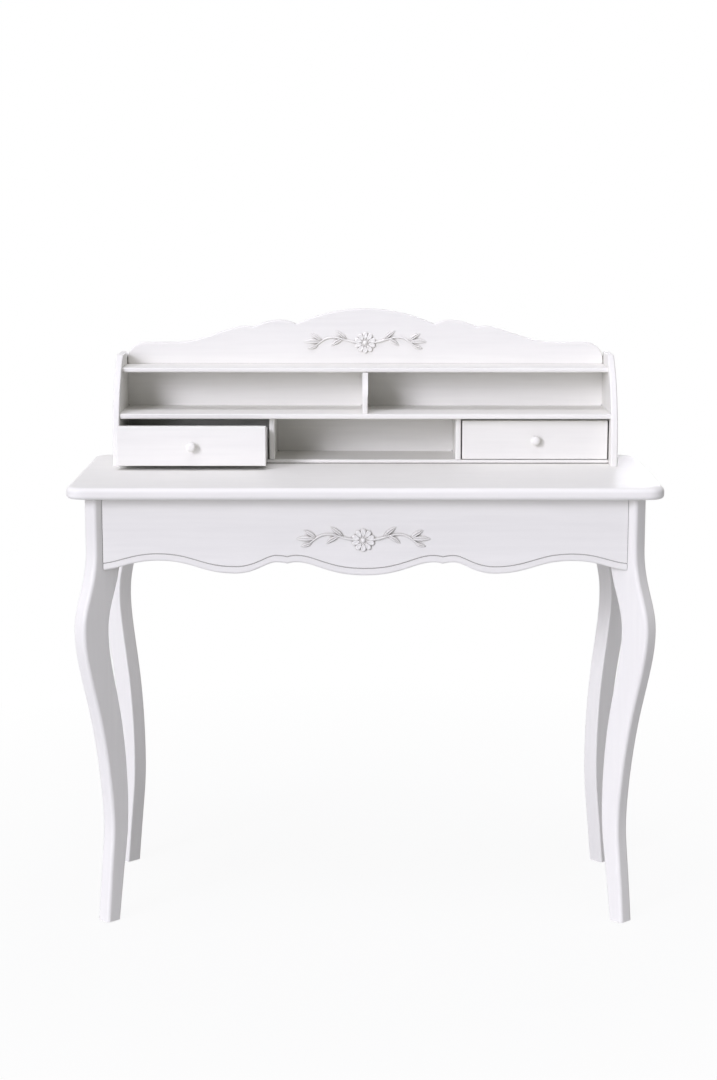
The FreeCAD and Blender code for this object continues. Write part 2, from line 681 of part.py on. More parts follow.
def make_shelf(label, depth, thick, bottom, back_y):
    """A shelf between the side panels; its ends have pin holes and its front edges are eased."""
    body = board(label, INSIDE_WIDTH, depth, thick)
    deep = body.Shape.BoundBox.YLength
    high = body.Shape.BoundBox.ZLength
    round_edges(body, "front_edges", "Sizes.board_round", front_edges(deep, high))
    end_holes(body, "(" + INSIDE_WIDTH + ") / 2", deep, high / 2)
    place(body, "0", f"{back_y} - ({depth}) / 2", bottom)
    return body


def make_hutch_boards():
    shelf_run = "Sizes.shelf_depth - Sizes.back_thick"
    base = make_shelf("hutch_base_board", "Sizes.base_depth", "Sizes.base_thick",
                      "Sizes.desk_height", HUTCH_BACK)
    local = [(x, y - base_middle) for x, y in base_screws]
    holes(base, "XY_Plane", "screw_holes", local, SCREW_HOLE, "Sizes.base_thick", reverse=True)
    holes(base, "XY_Plane", "head_holes", local, HEAD_HOLE, "Sizes.screw_head_height", "Sizes.base_thick")
    make_shelf("hutch_middle_shelf", shelf_run, "Sizes.shelf_thick",
               BASE_TOP + " + Sizes.drawer_opening", BACK_FACE)
    top_shelf = make_shelf("hutch_top_shelf", "Sizes.top_shelf_depth", "Sizes.top_shelf_thick",
                           TOP_SHELF_BOTTOM, HUTCH_BACK)
    crest_line = sheet.top_shelf_depth / 2 - sheet.crest_thick / 2
    holes(top_shelf, "XY_Plane", "crest_pins", [(x, crest_line) for x in crest_pins()], PIN_HOLE,
          "Sizes.pin_in_board + Sizes.fastener_gap", "Sizes.top_shelf_thick")
    back = board("hutch_back_panel", INSIDE_WIDTH, "Sizes.back_thick",
                 "Sizes.drawer_opening + Sizes.shelf_thick + Sizes.upper_opening")
    screw_line = sheet.drawer_opening + sheet.shelf_thick / 2
    screw_hole = "Sizes.back_screw_diameter + 2 * Sizes.fastener_gap"
    holes(back, "XZ_Plane", "screw_holes", [(x, screw_line) for x in back_screws()], screw_hole,
          "2 * Sizes.back_thick", "Sizes.back_thick")
    shelf = doc.getObject("hutch_middle_shelf")
    middle = sheet.shelf_thick / 2
    holes(shelf, "XZ_Plane", "back_screw_holes", [(x, middle) for x in back_screws()], screw_hole,
          "Sizes.back_screw_length - Sizes.back_thick + Sizes.fastener_gap",
          "-(" + shelf_run + ") / 2", reverse=True)
    place(back, "0", f"{HUTCH_BACK} - Sizes.back_thick / 2", BASE_TOP)


def crest_pins():
    return [share * hutch_inside for share in (-0.7, -0.25, 0.25, 0.7)]


def back_screws():
    return [share * hutch_inside for share in (-0.85, -0.3, 0.3, 0.85)]


def make_dividers():
    """Two lower dividers beside the open compartment and one above its middle."""
    shelf_run = "Sizes.shelf_depth - Sizes.back_thick"
    base_run = "Sizes.base_depth - Sizes.back_thick"
    upright = lambda edge, middle: abs(edge.tangentAt(edge.FirstParameter).z) > 0.9 and middle.y < 0
    for name, side in SIDES:
        body = board(f"hutch_divider_{name}", "Sizes.divider_thick", base_run, "Sizes.drawer_opening")
        round_edges(body, "front_edges", "Sizes.board_round", upright)
        place(body, f"{side} * (Sizes.cubby_width + Sizes.divider_thick) / 2",
              f"{BACK_FACE} - ({base_run}) / 2", BASE_TOP)
    run = f"{shelf_run} - Sizes.divider_setback"
    body = board("hutch_divider_upper", "Sizes.divider_thick", run, "Sizes.upper_opening")
    round_edges(body, "front_edges", "Sizes.board_round", upright)
    high = sheet.upper_opening
    front = (sheet.shelf_depth - sheet.back_thick - sheet.divider_setback) / 2
    step = sheet.shelf_depth - sheet.divider_setback - sheet.top_shelf_depth
    notch = new_sketch(body, "YZ_Plane", "swept_front")
    outline(notch, (-2 * front, high / 3), [[(-front, high / 3)],
                                            [(-front, high * 0.8), (step - front, high)],
                                            [(step - front, 2 * high)], [(-2 * front, 2 * high)],
                                            [(-2 * front, high / 3)]])
    pocket(body, notch, "4 * Sizes.divider_thick", symmetric=True)
    place(body, "0", f"{BACK_FACE} - ({run}) / 2", SHELF_TOP)


def make_side(name, side):
    """A side panel whose front edge sweeps back in an arc towards its top."""
    body = new_body("hutch_side_" + name)
    foot = -sheet.hutch_depth
    top_front = -sheet.side_top_depth
    straight = sheet.side_straight
    high = sheet.side_height
    run = top_front - foot
    rise = high - straight
    sweep = (run * run + rise * rise) / (2 * run)
    centre = vector(foot + sweep, straight)
    half_turn = math.asin(rise / sweep) / 2
    sketch = new_sketch(body, "YZ_Plane", "profile")
    start = vector(foot, straight)
    on_arc = centre + vector(-math.cos(half_turn), math.sin(half_turn)) * sweep
    end = vector(top_front, high)
    corners = [end, vector(0, high), vector(0, 0), vector(foot, 0), start]
    sketch.addGeometry(Part.Arc(start, on_arc, end), False)
    for index in range(4):
        sketch.addGeometry(Part.LineSegment(corners[index], corners[index + 1]), False)
    pad(body, sketch, "Sizes.side_thick", symmetric=True)
    round_edges(body, "top_corner", "Sizes.side_top_round",
                lambda edge, middle: abs(edge.tangentAt(edge.FirstParameter).x) > 0.9
                and middle.z > high - 0.01 and middle.y < -1)
    sides = sheet.side_thick / 2
    round_edges(body, "front_edges", "Sizes.board_round",
                lambda edge, middle: abs(abs(middle.x) - sides) < 0.01 and middle.z > 0.01
                and middle.y < -0.01)
    places = []
    for depth, middle, height in shelf_ends():
        spread = shelf_pin_spread(depth)
        places += [(middle - hutch_back - spread, height), (middle - hutch_back + spread, height)]
    inner = f"{-side} * Sizes.side_thick / 2"
    holes(body, "YZ_Plane", "pin_holes", places, PIN_HOLE, "Sizes.pin_in_board + Sizes.fastener_gap",
          inner, reverse=side > 0)
    place(body, f"{side} * ({HUTCH_HALF} - Sizes.side_thick / 2)", HUTCH_BACK, "Sizes.desk_height")


def shelf_ends():
    """Depth, middle along Y and height of each shelf's end, the height above the tabletop."""
    run = sheet.shelf_depth - sheet.back_thick
    shelf_middle = hutch_back - sheet.back_thick - run / 2
    top_middle = hutch_back - sheet.top_shelf_depth / 2
    shelf_height = shelf_top - sheet.shelf_thick / 2 - sheet.desk_height
    top_height = top_shelf_top - sheet.top_shelf_thick / 2 - sheet.desk_height
    return (
        (sheet.base_depth, base_middle, sheet.base_thick / 2),
        (run, shelf_middle, shelf_height),
        (sheet.top_shelf_depth, top_middle, top_height),
    )


def make_hutch_pins():
    """Pins from the side panels into the shelves, and from the top shelf into the crest board."""
    radius = sheet.pin_diameter / 2
    ease = radius / 3
    long = sheet.pin_length
    pin = turned_straight("one_pin", [(0, 0), (radius - ease, 0), (radius, ease), (radius, long - ease),
                                      (radius - ease, long), (0, long)])
    places = []
    for _, side in SIDES:
        outer_end = side * (hutch_inside + sheet.pin_in_board)
        for depth, middle, height in shelf_ends():
            for end in (-1, 1):
                y = middle + end * shelf_pin_spread(depth)
                at = vector(outer_end, y, sheet.desk_height + height)
                places.append(along(at, vector(-side, 0, 0)))
    for x in crest_pins():
        at = vector(x, hutch_back - sheet.crest_thick / 2, top_shelf_top - sheet.pin_in_board)
        places.append(along(at, vector(0, 0, 1)))
    group("hutch_pins", pin, places)
    screw = one_screw("one_back_screw", sheet.back_screw_length, sheet.back_screw_diameter,
                      sheet.back_screw_head_diameter, sheet.back_screw_head_height)
    height = shelf_top - sheet.shelf_thick / 2
    group("back_panel_screws", screw,
          [along(vector(x, hutch_back, height), vector(0, -1, 0)) for x in back_screws()])


def make_crest():
    """The scalloped board that stands on the back of the top shelf."""
    body = new_body("crest_board")
    half = hutch_inside
    peak = sheet.crest_peak
    notch = CREST_NOTCH * half
    outer = CREST_OUTER_NOTCH * half
    shoulder = CREST_SHOULDER * half
    bump = CREST_BUMP * half
    end = sheet.crest_end_round
    low = sheet.crest_shoulder
    rise = 2 * sheet.crest_bump - (sheet.crest_notch + sheet.crest_outer_notch) / 2
    steps = [
        [(notch / 2, peak), (notch, sheet.crest_notch)],
        [(bump, rise), (outer, sheet.crest_outer_notch)],
        [(outer + 0.25 * (shoulder - outer), sheet.crest_outer_notch + sheet.crest_swell),
         (shoulder - 0.38 * (shoulder - outer), low), (shoulder, low)],
        [(half - end, low)],
        [(half - 0.4 * end, low), (half, low - 0.4 * end), (half, low - end)],
    ]
    first, edge = both_halves((0, peak), steps)
    sketch = new_sketch(body, "XZ_Plane", "scallops")
    outline(sketch, first, edge + [[(half, 0)], [(-half, 0)], [first]])
    pad(body, sketch, "Sizes.crest_thick", symmetric=True)
    sides = sheet.crest_thick / 2
    round_edges(body, "eased_edges", "Sizes.board_round",
                lambda edge, middle: abs(abs(middle.y) - sides) < 0.01 and abs(middle.x) < half - 0.01
                and middle.z > 0.01)
    holes(body, "XY_Plane", "pin_holes", [(x, 0) for x in crest_pins()], PIN_HOLE,
          "Sizes.pin_length - Sizes.pin_in_board + Sizes.fastener_gap", reverse=True)
    place(body, "0", f"{HUTCH_BACK} - Sizes.crest_thick / 2", TOP_SHELF_TOP)


def both_sides(sketch, start, steps):
    """The same small outline on the right and, mirrored, on the left."""
    outline(sketch, start, steps)
    outline(sketch, (-start[0], start[1]), [[(-x, z) for x, z in step] for step in steps])


def beside(base, tip, share, offset):
    """A point at a share of the way between two points and off to one side."""
    run = vector(tip[0] - base[0], tip[1] - base[1])
    across = vector(-run.y, run.x).normalize() * offset
    return base[0] + share * run.x + across.x, base[1] + share * run.y + across.y


def leaf(base, tip, width):
    """A leaf that is pointed at both ends."""
    return base, [
        [beside(base, tip, 0.3, width), beside(base, tip, 0.7, width), tip],
        [beside(base, tip, 0.7, -width), beside(base, tip, 0.3, -width), base],
    ]


def stem_outline(poles, half_width):
    """A stem of even width that follows a curve's poles."""
    left, right = [], []
    for index, pole in enumerate(poles):
        before = poles[max(index - 1, 0)]
        after = poles[min(index + 1, len(poles) - 1)]
        across = vector(before[1] - after[1], after[0] - before[0]).normalize() * half_width
        left.append((pole[0] + across.x, pole[1] + across.y))
        right.insert(0, (pole[0] - across.x, pole[1] - across.y))
    return left[0], [left[1:], [right[0]], right[1:], [left[0]]]


# A spray's stem and leaves to the right of its flower, as shares of its half width
SPRAY_STEM = ((0.09, 0.01), (0.3, -0.03), (0.52, 0.22), (0.72, 0.12), (0.78, -0.13), (0.9, -0.085))
SPRAY_LEAVES = (
    ("upper_leaves", (0.31, 0.055), (0.49, 0.2), 0.034),
    ("lower_leaves", (0.36, 0.065), (0.55, -0.055), 0.036),
    ("lower_petals", (0.76, -0.04), (0.93, -0.095), 0.03),
    ("outer_petals", (0.71, 0.02), (1.0, 0.015), 0.05),
    ("upper_petals", (0.7, 0.03), (0.89, 0.15), 0.04),
)


def make_spray(label, x, y, z):
    """A flower between two leafy stems, lying on the face of a board and facing the front."""
    body = new_body(label)
    radius = sheet.flower_radius
    reach = sheet.spray_half_width
    disc = new_sketch(body, "XZ_Plane", "disc")
    circle(disc, 0, 0, "1.2 * Sizes.flower_radius")
    pad(body, disc, "Sizes.spray_relief")
    petal = new_sketch(body, "XZ_Plane", "petal")
    wide = 0.32 * radius
    outline(petal, (0, 0.25 * radius), [
        [(wide, 0.6 * radius), (wide, radius), (0, radius)],
        [(-wide, radius), (-wide, 0.6 * radius), (0, 0.25 * radius)],
    ])
    one_petal = pad(body, petal, "Sizes.petal_relief")
    ring = body.newObject("PartDesign::PolarPattern", "petals")
    ring.Originals = [one_petal]
    ring.Axis = (petal, ["N_Axis"])
    ring.Angle = 360
    ring.Occurrences = PETALS
    body.Tip = ring
    doc.recompute()
    boss = new_sketch(body, "XZ_Plane", "boss")
    circle(boss, 0, 0, "0.6 * Sizes.flower_radius")
    pad(body, boss, "Sizes.boss_relief")
    stems = new_sketch(body, "XZ_Plane", "stems")
    poles = [(reach * x_share, reach * z_share) for x_share, z_share in SPRAY_STEM]
    both_sides(stems, *stem_outline(poles, sheet.stem_width / 2))
    pad(body, stems, "Sizes.spray_relief")
    for name, base, tip, width in SPRAY_LEAVES:
        sketch = new_sketch(body, "XZ_Plane", name)
        start = (reach * base[0], reach * base[1])
        end = (reach * tip[0], reach * tip[1])
        both_sides(sketch, *leaf(start, end, reach * width))
        pad(body, sketch, "Sizes.petal_relief")
    place(body, x, y, z)


def make_drawer(name, side, pull):
    """A drawer of five boards with a turned knob, on the base board beside a divider."""
    opening = f"({HUTCH_HALF} - Sizes.side_thick - Sizes.cubby_width / 2 - Sizes.divider_thick)"
    middle = f"{side} * (Sizes.cubby_width / 2 + Sizes.divider_thick + {opening} / 2)"
    front_y = f"({HUTCH_BACK} - Sizes.base_depth - {pull})"
    width = f"({opening} - 2 * Sizes.drawer_side_gap)"
    box_width = f"({width} - 2 * Sizes.drawer_wall_inset)"
    inner = f"({box_width} - 2 * Sizes.drawer_wall)"
    height = "(Sizes.drawer_opening - Sizes.drawer_front_lift - Sizes.drawer_top_gap)"
    length = "(Sizes.base_depth - Sizes.back_thick - Sizes.drawer_back_gap - Sizes.drawer_front_thick)"
    floor = f"({BASE_TOP} + Sizes.drawer_slide_gap)"
    walls_y = f"({front_y} + Sizes.drawer_front_thick)"
    label = "drawer_" + name
    lift = sheet.drawer_bottom_lift - sheet.groove_play
    groove_top = lift + sheet.drawer_bottom_thick + 2 * sheet.groove_play
    groove = sheet.drawer_groove_depth
    wall = sheet.drawer_wall
    high = sheet.drawer_wall_height

    front = board(label + "_front", width, "Sizes.drawer_front_thick", height)
    half_thick = sheet.drawer_front_thick / 2
    round_edges(front, "face_edges", "Sizes.drawer_front_round",
                lambda edge, middle: middle.y < 0.01 - half_thick)
    slot = new_sketch(front, "XZ_Plane", "bottom_groove", "-Sizes.drawer_front_thick / 2")
    slot_half = front.Shape.BoundBox.XLength / 2 - sheet.drawer_wall_inset - wall + groove
    slot_low = sheet.drawer_slide_gap - sheet.drawer_front_lift + lift
    slot_high = slot_low + groove_top - lift
    outline(slot, (-slot_half, slot_low), [[(slot_half, slot_low)], [(slot_half, slot_high)],
                                           [(-slot_half, slot_high)], [(-slot_half, slot_low)]])
    pocket(front, slot, "Sizes.drawer_groove_depth", reverse=True)
    knob_height = front.Shape.BoundBox.ZLength / 2
    holes(front, "XZ_Plane", "knob_screw_hole", [(0, knob_height)], SCREW_HOLE,
          "2 * Sizes.drawer_front_thick", "Sizes.drawer_front_thick")
    place(front, middle, f"{front_y} + Sizes.drawer_front_thick / 2", f"{BASE_TOP} + Sizes.drawer_front_lift")

    for hand, way in SIDES:
        body = new_body(f"{label}_side_{hand}")
        section = new_sketch(body, "XZ_Plane", "section")
        face = -way * wall
        inside = -way * (wall - groove)
        outline(section, (0, 0), [[(face, 0)], [(face, lift)], [(inside, lift)], [(inside, groove_top)],
                                  [(face, groove_top)], [(face, high)], [(0, high)], [(0, 0)]])
        pad(body, section, length, reverse=True)
        place(body, f"{middle} + {way} * {box_width} / 2", walls_y, floor)

    back = board(label + "_back", inner, "Sizes.drawer_wall",
                 f"Sizes.drawer_wall_height - Sizes.drawer_bottom_lift - Sizes.drawer_bottom_thick"
                 " - Sizes.groove_play")
    place(back, middle, f"{walls_y} + {length} - Sizes.drawer_wall / 2",
          f"{floor} + Sizes.drawer_bottom_lift + Sizes.drawer_bottom_thick + Sizes.groove_play")

    run = f"({length} + Sizes.drawer_groove_depth - Sizes.groove_play)"
    bottom = board(label + "_bottom", f"{inner} + 2 * (Sizes.drawer_groove_depth - Sizes.groove_play)", run,
                   "Sizes.drawer_bottom_thick")
    place(bottom, middle, f"{walls_y} + {length} - {run} / 2", f"{floor} + Sizes.drawer_bottom_lift")

    knob_height = f"{BASE_TOP} + Sizes.drawer_front_lift + {height} / 2"
    make_knob(label, middle, front_y, knob_height)


def make_knob(label, x, front_y, z):
    """A ball knob on a flared neck, held by a screw from inside the drawer."""
    radius = sheet.knob_diameter / 2
    neck = sheet.knob_neck_diameter / 2
    reach = sheet.knob_reach
    start = sheet.knob_neck_length
    knob = turned(label + "_knob", (0, 0), [
        [(neck, 0)],
        [(neck * 0.8, -start * 0.5), (neck * 0.8, -start)],
        [(radius, -start), (radius, -(start + reach) / 2)],
        [(radius, -reach), (0, -reach)],
        [(0, 0)],
    ], "XY_Plane", keep=True)
    holes(knob, "XZ_Plane", "screw_hole", [(0, 0)], SCREW_HOLE,
          "Sizes.knob_screw_bite + Sizes.fastener_gap", reverse=True)
    place(knob, x, front_y, z)
    shank = sheet.screw_diameter / 2
    head = sheet.screw_head_diameter / 2
    high = sheet.screw_head_height
    tip = -(sheet.drawer_front_thick + sheet.knob_screw_bite)
    screw = turned(label + "_knob_screw", (0, high), [
        [(0, tip)], [(shank, tip)], [(shank, 0)], [(head, 0)], [(head, high / 2)],
        [(head, high), (0, high)],
    ], "XY_Plane", keep=True)
    place(screw, x, f"{front_y} + Sizes.drawer_front_thick", z)


make_tabletop()
for corner in CORNERS:
    make_leg(*corner)
make_aprons()
for corner in CORNERS:
    make_brace(*corner)
make_leg_fasteners()
make_wood_screws()
make_hutch_boards()
make_dividers()
for hand, way in SIDES:
    make_side(hand, way)
make_hutch_pins()
make_crest()
make_spray("apron_spray", "-Sizes.apron_spray_shift", "Sizes.apron_setback - Sizes.top_depth / 2",
           UNDERSIDE + " - Sizes.apron_spray_drop")
make_spray("crest_spray", "0", HUTCH_BACK + " - Sizes.crest_thick",
           TOP_SHELF_TOP + " + Sizes.crest_spray_rise")
make_drawer("left", -1, "Sizes.left_drawer_pull")
make_drawer("right", 1, "0")
doc.recompute()

# Every object and every shape has to be sound before anything is written
for item in doc.Objects:
    if "Invalid" in item.State or "Error" in item.State:
        raise ValueError(f"{item.Label} failed: {item.State}")
for node in nodes:
    if node.Shape.isNull() or not node.Shape.isValid():
        raise ValueError(f"{node.Label} has no sound shape")

os.makedirs("parts", exist_ok=True)
for node in nodes:
    node.Shape.exportStep(os.path.join("parts", node.Label + ".step"))
print(len(nodes), "nodes,", sum(len(node.Shape.Solids) for node in nodes), "solids")
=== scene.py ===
import json
import math

import bpy
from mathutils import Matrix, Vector


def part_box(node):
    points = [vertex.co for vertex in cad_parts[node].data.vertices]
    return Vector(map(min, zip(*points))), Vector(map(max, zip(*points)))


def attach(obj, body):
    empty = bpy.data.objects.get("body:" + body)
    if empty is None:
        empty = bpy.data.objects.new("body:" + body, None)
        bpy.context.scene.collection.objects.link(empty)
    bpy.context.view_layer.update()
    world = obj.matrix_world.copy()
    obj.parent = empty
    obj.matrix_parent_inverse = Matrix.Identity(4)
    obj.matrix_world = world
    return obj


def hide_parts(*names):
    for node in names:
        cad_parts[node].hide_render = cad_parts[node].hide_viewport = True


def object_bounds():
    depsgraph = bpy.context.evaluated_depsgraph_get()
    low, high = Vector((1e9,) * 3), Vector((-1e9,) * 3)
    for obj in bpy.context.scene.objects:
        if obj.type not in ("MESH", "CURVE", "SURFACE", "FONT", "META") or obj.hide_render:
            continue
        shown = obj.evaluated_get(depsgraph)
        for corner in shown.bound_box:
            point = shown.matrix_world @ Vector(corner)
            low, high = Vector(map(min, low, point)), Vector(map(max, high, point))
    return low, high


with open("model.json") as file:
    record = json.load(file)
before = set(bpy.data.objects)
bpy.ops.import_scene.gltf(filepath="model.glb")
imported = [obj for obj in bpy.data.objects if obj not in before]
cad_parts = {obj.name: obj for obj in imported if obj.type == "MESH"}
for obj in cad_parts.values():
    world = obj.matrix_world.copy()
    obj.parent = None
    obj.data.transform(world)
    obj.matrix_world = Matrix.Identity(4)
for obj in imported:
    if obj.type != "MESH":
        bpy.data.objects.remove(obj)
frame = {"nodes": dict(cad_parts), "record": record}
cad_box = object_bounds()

scene = bpy.context.scene
scene.view_settings.view_transform = "Standard"


# Node helpers

# Colour sockets of a Mix node
MIX_FIRST = 6
MIX_SECOND = 7
MIX_RESULT = 2


def new_material(name):
    """A material with a Principled shader, and its node tree."""
    material = bpy.data.materials.new(name)
    material.use_nodes = True
    tree = material.node_tree
    return material, tree, tree.nodes["Principled BSDF"]


def add(tree, kind, **values):
    """A node with some of its inputs or properties set."""
    node = tree.nodes.new("ShaderNode" + kind)
    for key, value in values.items():
        if key in node.inputs:
            node.inputs[key].default_value = value
        else:
            setattr(node, key, value)
    return node


def noise(tree, scale, detail=3.0, stretch=None):
    """Noise in the object's own metres, stretched along an axis where a stretch is given."""
    coordinates = add(tree, "TexCoord").outputs["Object"]
    if stretch:
        mapping = add(tree, "Mapping", Scale=stretch)
        tree.links.new(coordinates, mapping.inputs["Vector"])
        coordinates = mapping.outputs["Vector"]
    node = add(tree, "TexNoise", Scale=scale, Detail=detail)
    tree.links.new(coordinates, node.inputs["Vector"])
    return node.outputs["Fac"]


def ramp(tree, factor, stops):
    """A colour ramp; each stop is a position and a colour or a grey."""
    node = add(tree, "ValToRGB")
    elements = node.color_ramp.elements
    while len(elements) < len(stops):
        elements.new(0.5)
    for element, (position, colour) in zip(elements, stops):
        element.position = position
        rgb = colour if isinstance(colour, tuple) else (colour, colour, colour)
        element.color = (*rgb, 1.0)
    tree.links.new(factor, node.inputs["Fac"])
    return node.outputs["Color"]


def multiply(tree, share, first, second):
    """A colour multiplied by a second one, by some share."""
    node = add(tree, "Mix", data_type="RGBA", blend_type="MULTIPLY")
    node.inputs["Factor"].default_value = share
    tree.links.new(first, node.inputs[MIX_FIRST])
    tree.links.new(second, node.inputs[MIX_SECOND])
    return node.outputs[MIX_RESULT]


def bump(tree, *layers):
    """Bumps on top of each other; each layer is a height socket, a strength and a depth in metres."""
    normal = None
    for height, strength, depth in layers:
        node = add(tree, "Bump", Strength=strength, Distance=depth)
        tree.links.new(height, node.inputs["Height"])
        if normal:
            tree.links.new(normal, node.inputs["Normal"])
        normal = node.outputs["Normal"]
    return normal


def dress(tree, shader, tone, roughness, normal):
    """A shader's colour, roughness and normal, each fed by a socket."""
    tree.links.new(tone, shader.inputs["Base Color"])
    tree.links.new(roughness, shader.inputs["Roughness"])
    tree.links.new(normal, shader.inputs["Normal"])


# Materials: every tone, roughness and painted shade is a row of ramp stops

PAINT_TONES = ((0.3, (0.79, 0.781, 0.738)), (0.7, (0.815, 0.806, 0.76)))
PAINT_STREAKS = ((0.3, 0.97), (0.65, 1.0))
PAINT_ROUGHNESS = ((0.3, 0.48), (0.7, 0.58))
PAINT_SPECULAR = 0.35
STREAK_BUMP = (0.2, 0.0004)
STIPPLE_BUMP = (0.15, 0.0001)

# Noise along the run of a board's grain is stretched by these
GRAIN_X = (0.06, 1.0, 1.0)
GRAIN_Y = (1.0, 0.06, 1.0)
GRAIN_Z = (1.0, 1.0, 0.06)

# Painted shade by how open a spot is: darkening only in the gaps of plain boards, more round carving and
# in the incised line
PAINTED_SHADE_REACH = 0.005
PAINTED_SHADE_SAMPLES = 8
GAP_PAINTED_SHADE = (
    (0.1, (0.06, 0.055, 0.05)),
    (0.3, (0.4, 0.385, 0.37)),
    (0.48, (0.88, 0.875, 0.87)),
    (0.6, 1.0),
)
CARVED_PAINTED_SHADE = ((0.05, (0.2, 0.185, 0.17)), (0.4, (0.62, 0.6, 0.585)), (0.8, 1.0))
LINE_PAINTED_SHADE = ((0.1, (0.16, 0.15, 0.145)), (0.5, (0.5, 0.485, 0.475)), (0.84, 1.0))

BOARD_TONES = ((0.3, (0.785, 0.78, 0.76)), (0.7, (0.825, 0.819, 0.798)))
BOARD_ROUGHNESS = ((0.3, 0.5), (0.7, 0.62))
BOARD_STRETCH = (1.0, 0.35, 1.0)
BOARD_BUMP = (0.25, 0.00012)

BRACE_WOOD_DARK = (0.5, 0.34, 0.19)
BRACE_WOOD_PALE = (0.68, 0.5, 0.31)
BRACE_WOOD_STRETCH = (1.0, 1.0, 0.16)
PIN_WOOD_DARK = (0.55, 0.39, 0.24)
PIN_WOOD_PALE = (0.7, 0.53, 0.35)
PIN_WOOD_STRETCH = (0.2, 1.0, 1.0)
WOOD_PORES = ((0.35, 0.82), (0.55, 1.0))
WOOD_PORE_SHARE = 0.8
WOOD_ROUGHNESS = ((0.3, 0.55), (0.7, 0.72))
WOOD_BUMP = (0.3, 0.0003)

ZINC_TONES = ((0.3, (0.52, 0.53, 0.55)), (0.7, (0.7, 0.7, 0.69)))
ZINC_ROUGHNESS = ((0.3, 0.28), (0.7, 0.46))
ZINC_BUMP = (0.15, 0.0001)

GLIDE_TONES = ((0.35, (0.06, 0.056, 0.055)), (0.75, (0.15, 0.145, 0.14)))
GLIDE_ROUGHNESS = ((0.3, 0.45), (0.7, 0.7))
GLIDE_BUMP = (0.3, 0.0002)


def white_paint(name, grain, painted_shade):
    """Satin white paint: faint drift and brush streaks along the grain, and painted shade that darkens
    spots by how enclosed they are.
    """
    material, tree, shader = new_material(name)
    drift = ramp(tree, noise(tree, scale=2.2), PAINT_TONES)
    streaks = noise(tree, scale=130.0, detail=4.0, stretch=grain)
    tone = multiply(tree, 1.0, drift, ramp(tree, streaks, PAINT_STREAKS))
    # Painted shade: an occlusion probe darkens the paint's colour in gaps, creases and corners
    corner = add(tree, "AmbientOcclusion", Distance=PAINTED_SHADE_REACH, samples=PAINTED_SHADE_SAMPLES)
    tone = multiply(tree, 1.0, tone, ramp(tree, corner.outputs["AO"], painted_shade))
    roughness = ramp(tree, noise(tree, scale=21.0, detail=5.0), PAINT_ROUGHNESS)
    stipple = noise(tree, scale=620.0, detail=2.0)
    dress(tree, shader, tone, roughness, bump(tree, (streaks, *STREAK_BUMP), (stipple, *STIPPLE_BUMP)))
    shader.inputs["Specular IOR Level"].default_value = PAINT_SPECULAR
    return material


def drawer_board():
    """Matte white coated board with a fine printed tooth."""
    material, tree, shader = new_material("drawer_board")
    tone = ramp(tree, noise(tree, scale=6.0, detail=4.0), BOARD_TONES)
    roughness = ramp(tree, noise(tree, scale=60.0), BOARD_ROUGHNESS)
    tooth = noise(tree, scale=900.0, detail=2.0, stretch=BOARD_STRETCH)
    dress(tree, shader, tone, roughness, bump(tree, (tooth, *BOARD_BUMP)))
    return material


def wood(name, dark, pale, stretch):
    """Bare wood with growth rings stretched along the grain and fine pores."""
    material, tree, shader = new_material(name)
    rings = noise(tree, scale=26.0, detail=5.0, stretch=stretch)
    tone = ramp(tree, rings, ((0.32, dark), (0.5, pale), (0.62, dark), (0.78, pale)))
    pores = noise(tree, scale=420.0, detail=2.0, stretch=stretch)
    tone = multiply(tree, WOOD_PORE_SHARE, tone, ramp(tree, pores, WOOD_PORES))
    dress(tree, shader, tone, ramp(tree, rings, WOOD_ROUGHNESS), bump(tree, (pores, *WOOD_BUMP)))
    return material


def zinc():
    """Zinc plated steel, spangled and slightly dull."""
    material, tree, shader = new_material("steel")
    tone = ramp(tree, noise(tree, scale=340.0, detail=4.0), ZINC_TONES)
    roughness = ramp(tree, noise(tree, scale=190.0, detail=4.0), ZINC_ROUGHNESS)
    grit = noise(tree, scale=1500.0, detail=2.0)
    dress(tree, shader, tone, roughness, bump(tree, (grit, *ZINC_BUMP)))
    shader.inputs["Metallic"].default_value = 1.0
    return material


def glide_plastic():
    """Dark moulded plastic, scuffed by the floor."""
    material, tree, shader = new_material("glide_plastic")
    tone = ramp(tree, noise(tree, scale=260.0, detail=4.0), GLIDE_TONES)
    roughness = ramp(tree, noise(tree, scale=500.0), GLIDE_ROUGHNESS)
    scuffs = noise(tree, scale=1400.0, detail=2.0)
    dress(tree, shader, tone, roughness, bump(tree, (scuffs, *GLIDE_BUMP)))
    return material


PAINT = white_paint("white_paint", GRAIN_X, GAP_PAINTED_SHADE)
PAINT_DEEP = white_paint("white_paint_deep", GRAIN_Y, GAP_PAINTED_SHADE)
PAINT_UPRIGHT = white_paint("white_paint_upright", GRAIN_Z, GAP_PAINTED_SHADE)
# Copies of the paint with stronger painted shade round carving and in the incised line
PAINT_CARVED = white_paint("white_paint_carved", GRAIN_X, CARVED_PAINTED_SHADE)
PAINT_LINED = white_paint("white_paint_lined", GRAIN_X, LINE_PAINTED_SHADE)

MATERIALS = {
    "white_paint": PAINT,
    "drawer_board": drawer_board(),
    "bare_wood": wood("bare_wood", BRACE_WOOD_DARK, BRACE_WOOD_PALE, BRACE_WOOD_STRETCH),
    "dowel_wood": wood("dowel_wood", PIN_WOOD_DARK, PIN_WOOD_PALE, PIN_WOOD_STRETCH),
    "steel": zinc(),
    "glide_plastic": glide_plastic(),
}
UPRIGHT_PIECES = ("leg_", "hutch_side", "hutch_divider")


